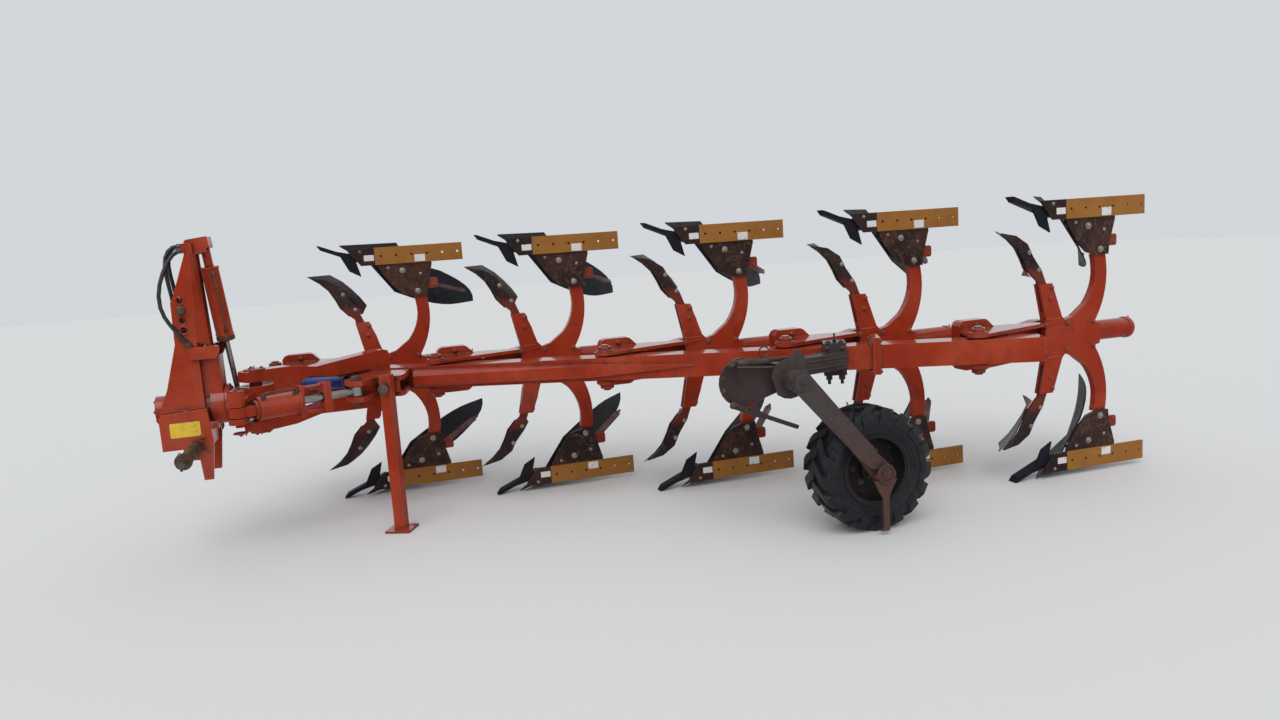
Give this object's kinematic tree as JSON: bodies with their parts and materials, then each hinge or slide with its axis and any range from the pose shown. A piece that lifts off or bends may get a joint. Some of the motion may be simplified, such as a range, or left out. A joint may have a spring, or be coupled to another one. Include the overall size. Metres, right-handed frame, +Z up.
{
  "type": "reversible mounted moldboard plough",
  "caption": "Reversible mounted moldboard plough: headstock that turns over, slanted beam with paired bottoms on pivoting carriers, skimmers, depth wheel and parking stand.",
  "frame": {"origin": "on the floor, under the middle of the length of the machine and in line with the turnover axis", "axes": "+X rearwards against the line of travel, +Y to the right of travel, +Z up"},
  "size_m": [5.4986, 2.7718, 1.685],
  "materials": {
    "orange_paint": "semi-gloss paint, faded and scratched",
    "dark_paint": "dark paint with surface rust",
    "worn_steel": "soil-polished steel with thin rust",
    "rusty_steel": "yellow-brown rust",
    "bare_steel": "bare steel",
    "blue_paint": "paint",
    "tyre_rubber": "matt rubber",
    "hose_rubber": "satin rubber cover"
  },
  "bodies": {
    "frame": {"beam": "orange_paint", "front_arms": "orange_paint", "beam_stiffener": "orange_paint", "cylinder_bracket": "orange_paint", "offset_cylinder": "blue_paint", "wheel_bracket": "dark_paint", "wheel_stop_screws": "dark_paint"},
    "yoke": {"turnover_yoke": "orange_paint"},
    "headstock": {"headstock": "orange_paint", "hitch_shaft": "bare_steel", "hydraulic_hoses": "hose_rubber"},
    "turnover_barrel": {"turnover_barrel": "orange_paint"},
    "turnover_rod": {"turnover_rod": "bare_steel"},
    "memory_barrel": {"memory_barrel": "orange_paint"},
    "memory_rod": {"memory_rod": "bare_steel"},
    "tie_rod": {"width_tie_rod": "orange_paint"},
    "stand": {"parking_stand": "orange_paint"},
    "wheel_arm": {"wheel_arm": "dark_paint"},
    "wheel": {"wheel_rim": "dark_paint", "tyre": "tyre_rubber"},
    "body_1": {"carrier_1": "orange_paint", "frogs_1": "dark_paint", "bottoms_1": "worn_steel", "landsides_1": "rusty_steel", "skimmers_1": "dark_paint"},
    "body_2": {"carrier_2": "orange_paint", "frogs_2": "dark_paint", "bottoms_2": "worn_steel", "landsides_2": "rusty_steel", "skimmers_2": "dark_paint"},
    "body_3": {"carrier_3": "orange_paint", "frogs_3": "dark_paint", "bottoms_3": "worn_steel", "landsides_3": "rusty_steel", "skimmers_3": "dark_paint"},
    "body_4": {"carrier_4": "orange_paint", "frogs_4": "dark_paint", "bottoms_4": "worn_steel", "landsides_4": "rusty_steel", "skimmers_4": "dark_paint"},
    "body_5": {"carrier_5": "orange_paint", "frogs_5": "dark_paint", "bottoms_5": "worn_steel", "landsides_5": "rusty_steel", "skimmers_5": "dark_paint"}
  },
  "joints": [
    {"name": "width_1", "type": "hinge", "parent": "frame", "child": "body_1", "pos_m": [-2.22278, 0.6762, 0.805], "axis": [0, 0, 1], "range_deg": [-8.2, 4.05]},
    {"name": "width_2", "type": "hinge", "parent": "frame", "child": "body_2", "pos_m": [-1.30066, 0.24021, 0.805], "axis": [0, 0, 1], "range_deg": [-8.2, 4.05]},
    {"name": "width_3", "type": "hinge", "parent": "frame", "child": "body_3", "pos_m": [-0.37854, -0.19579, 0.805], "axis": [0, 0, 1], "range_deg": [-8.2, 4.05]},
    {"name": "width_4", "type": "hinge", "parent": "frame", "child": "body_4", "pos_m": [0.54358, -0.63179, 0.805], "axis": [0, 0, 1], "range_deg": [-8.2, 4.05]},
    {"name": "width_5", "type": "hinge", "parent": "frame", "child": "body_5", "pos_m": [1.4657, -1.0678, 0.805], "axis": [0, 0, 1], "range_deg": [-8.2, 4.05]},
    {"name": "tie_rod_pin", "type": "hinge", "parent": "body_1", "child": "tie_rod", "pos_m": [-2.004, 0.72877, 0.805], "axis": [0, 0, 1], "range_deg": [-4.05, 8.2]},
    {"name": "frame_swing", "type": "hinge", "parent": "frame", "child": "yoke", "pos_m": [-2.25808, -0.007, 0.805], "axis": [0, 0, 1], "range_deg": [-15, 5]},
    {"name": "memory_foot", "type": "hinge", "parent": "yoke", "child": "memory_barrel", "pos_m": [-2.30809, -0.37, 0.805], "axis": [0, 0, 1], "range_deg": [-3.23, 9.66]},
    {"name": "memory_eye", "type": "hinge", "parent": "frame", "child": "memory_rod", "pos_m": [-1.74809, -0.055, 0.805], "axis": [0, 0, 1], "range_deg": [-5.36, 1.79]},
    {"name": "turnover", "type": "hinge", "parent": "yoke", "child": "headstock", "pos_m": [-2.60808, 0, 0.805], "axis": [-1, 0, 0], "range_deg": [0, 180]},
    {"name": "turnover_head", "type": "hinge", "parent": "headstock", "child": "turnover_barrel", "pos_m": [-2.42008, 0, 1.633], "axis": [-1, 0, 0], "range_deg": [0, 12.42]},
    {"name": "turnover_foot", "type": "hinge", "parent": "yoke", "child": "turnover_rod", "pos_m": [-2.42008, 0.09, 0.805], "axis": [-1, 0, 0], "range_deg": [0, 192.42]},
    {"name": "stand_fold", "type": "hinge", "parent": "frame", "child": "stand", "pos_m": [-1.58977, -0.07883, 0.805], "axis": [-0.4275, -0.904, 0], "range_deg": [0, 90]},
    {"name": "wheel_lift", "type": "hinge", "parent": "frame", "child": "wheel_arm", "pos_m": [0.26658, -1.21274, 0.805], "axis": [0, 1, 0], "range_deg": [-111.9, 12.1]},
    {"name": "wheel_spin", "type": "hinge", "parent": "wheel_arm", "child": "wheel", "pos_m": [0.68321, -1.21674, 0.31], "axis": [0, 1, 0], "continuous": true}
  ],
  "couplings": [
    {"joint": "width_2", "follows": "width_1", "ratio": 1},
    {"joint": "width_3", "follows": "width_1", "ratio": 1},
    {"joint": "width_4", "follows": "width_1", "ratio": 1},
    {"joint": "width_5", "follows": "width_1", "ratio": 1},
    {"joint": "tie_rod_pin", "follows": "width_1", "ratio": -1},
    {"joint": "memory_foot", "follows": "frame_swing", "ratio": -0.6435},
    {"joint": "memory_eye", "follows": "frame_swing", "ratio": 0.3565},
    {"joint": "turnover_head", "follows": "turnover", "ratio": 0.068927},
    {"joint": "turnover_foot", "follows": "turnover", "ratio": 1.0689}
  ]
}
